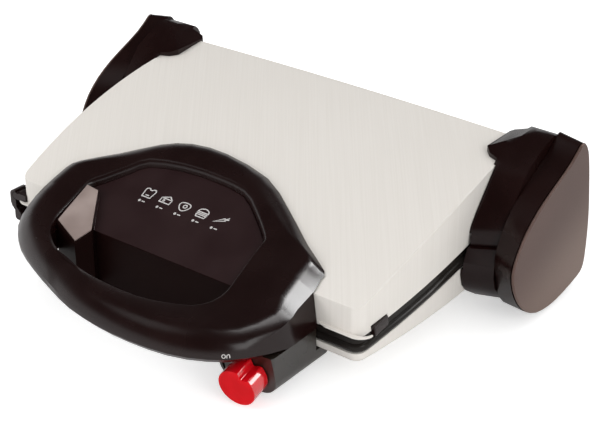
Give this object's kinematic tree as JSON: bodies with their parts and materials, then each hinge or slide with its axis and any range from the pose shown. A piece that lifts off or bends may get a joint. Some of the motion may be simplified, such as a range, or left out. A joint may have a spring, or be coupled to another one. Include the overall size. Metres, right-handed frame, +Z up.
{
  "type": "sandwich maker",
  "caption": "Flat countertop sandwich maker with an arched silver lid, black ring handle with a sloping panel, corner hinge pods and a red thermostat knob.",
  "frame": {"origin": "centre of the bounding box at table level, under the closed machine", "axes": "+X to the machine's right as its user sees it from the front, +Y to the back (hinge side), +Z up"},
  "size_m": [0.3934, 0.3, 0.118],
  "materials": {
    "brushed_silver": "fine vertical brushing",
    "nonstick_black": "cast, with a glossy non-stick coat",
    "heater_steel": "heat-darkened tube",
    "steel": "plain bright steel",
    "satin_black": "satin warm black",
    "panel_black": "satin warm black",
    "taupe_grey": "satin with a metallic tint",
    "knob_red": "polished",
    "rubber_black": "matt",
    "ceramic_white": "ivory thermoset"
  },
  "bodies": {
    "base": {"lower_shell": "brushed_silver", "lower_plate": "nonstick_black", "lower_heater": "heater_steel", "lower_reflector": "steel", "thermal_fuse": "steel", "terminal_block": "ceramic_white", "cord_gland": "rubber_black", "cheek_left": "satin_black", "cheek_right": "satin_black", "cheek_screw_front_left": "steel", "cheek_screw_front_right": "steel", "cheek_screw_rear_left": "steel", "cheek_screw_rear_right": "steel", "pod_housing_left": "satin_black", "pod_housing_right": "satin_black", "pod_cap_left": "taupe_grey", "pod_cap_right": "taupe_grey", "control_box": "satin_black", "box_cover": "satin_black", "thermostat": "steel", "front_leg": "satin_black", "foot_front_left": "rubber_black", "foot_front_right": "rubber_black", "foot_rear_left": "rubber_black", "foot_rear_right": "rubber_black"},
    "float_carriage": {"hinge_block_left": "steel", "hinge_block_right": "steel", "hinge_pin_left": "steel", "hinge_pin_right": "steel"},
    "lid": {"lid_cover": "brushed_silver", "upper_plate": "nonstick_black", "upper_heater": "heater_steel", "upper_reflector": "steel", "lid_arm_left": "satin_black", "lid_arm_right": "satin_black", "arm_screw_front_left": "steel", "arm_screw_front_right": "steel", "arm_screw_rear_left": "steel", "arm_screw_rear_right": "steel", "handle_ring": "satin_black", "handle_panel": "panel_black", "thumb_pad": "taupe_grey", "grip_cover": "satin_black", "grip_screw_left": "steel", "grip_screw_middle": "steel", "grip_screw_right": "steel", "bezel_screw_left": "steel", "bezel_screw_middle": "steel", "bezel_screw_right": "steel", "latch_mount": "satin_black"},
    "latch": {"side_latch": "satin_black"},
    "clip_left": {"plate_clip_left": "satin_black"},
    "clip_right": {"plate_clip_right": "satin_black"},
    "knob_body": {"knob": "knob_red", "knob_shaft": "steel"}
  },
  "joints": [
    {"name": "lid_float", "type": "slide", "parent": "base", "child": "float_carriage", "axis": [0, 0, 1], "range_m": [0, 0.012]},
    {"name": "lid_hinge", "type": "hinge", "parent": "float_carriage", "child": "lid", "pos_m": [0, 0.131, 0.06602], "axis": [-1, 0, 0], "range_deg": [0, 105]},
    {"name": "latch_swing", "type": "hinge", "parent": "lid", "child": "latch", "pos_m": [-0.15647, -0.0555, 0.044], "axis": [0, 1, 0], "range_deg": [0, 30]},
    {"name": "clip_left_press", "type": "slide", "parent": "lid", "child": "clip_left", "axis": [1, 0, 0], "range_m": [0, 0.003], "stiffness_N_per_m": 400, "springref_m": -0.001},
    {"name": "clip_right_press", "type": "slide", "parent": "lid", "child": "clip_right", "axis": [-1, 0, 0], "range_m": [0, 0.003], "stiffness_N_per_m": 400, "springref_m": -0.001},
    {"name": "knob_turn", "type": "hinge", "parent": "base", "child": "knob_body", "pos_m": [0.0995, -0.106, 0.019], "axis": [0.1029, -0.9794, -0.1736], "range_deg": [0, 270]}
  ]
}
